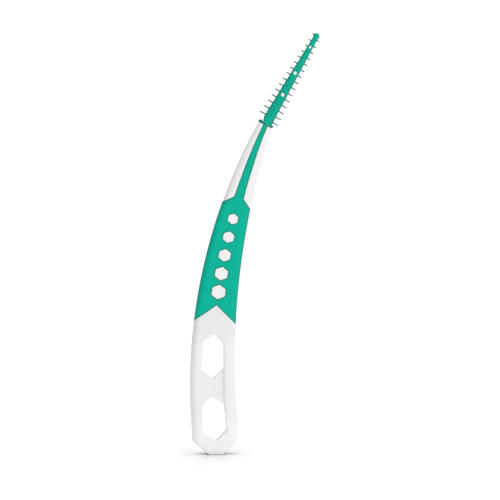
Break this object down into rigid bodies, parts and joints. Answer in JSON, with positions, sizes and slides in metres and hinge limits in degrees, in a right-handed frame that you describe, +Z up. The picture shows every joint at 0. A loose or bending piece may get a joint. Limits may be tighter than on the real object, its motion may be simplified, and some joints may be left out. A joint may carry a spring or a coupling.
{
  "type": "rubber interdental pick",
  "caption": "Curved interdental pick: rigid windowed handle and needle core under a soft grip sleeve, neck stripe, collar and tapered bristled tip.",
  "frame": {"origin": "centre of the flat face at the handle's bottom end", "axes": "+Z up the standing pick from the handle's end to the tip, +X towards the side that the tip leans to, -Y out of the front face, +Y out of the back face"},
  "size_m": [0.0259, 0.0042, 0.0842],
  "materials": {
    "white_polypropylene": "satin",
    "green_elastomer": "matte"
  },
  "bodies": {
    "handle": {"handle_base": "white_polypropylene", "grip_sleeve": "green_elastomer", "neck_stripe_front": "green_elastomer", "neck_stripe_back": "green_elastomer", "tip_collar": "green_elastomer", "tip_sleeve_base": "green_elastomer"},
    "needle_middle": {"needle_core_middle": "white_polypropylene", "tip_sleeve_middle": "green_elastomer"},
    "needle_end": {"needle_core_end": "white_polypropylene", "tip_sleeve_end": "green_elastomer"}
  },
  "joints": [
    {"name": "tip_flex_sideways", "type": "hinge", "parent": "handle", "child": "needle_middle", "pos_m": [0.01194, 0, 0.06931], "axis": [0, 1, 0], "range_deg": [-18, 18], "stiffness_Nm_per_rad": 0.02},
    {"name": "tip_flex_frontways", "type": "hinge", "parent": "needle_middle", "child": "needle_end", "pos_m": [0.01527, 0, 0.07509], "axis": [0.8637, 0, -0.504], "range_deg": [-25, 25], "stiffness_Nm_per_rad": 0.006}
  ]
}
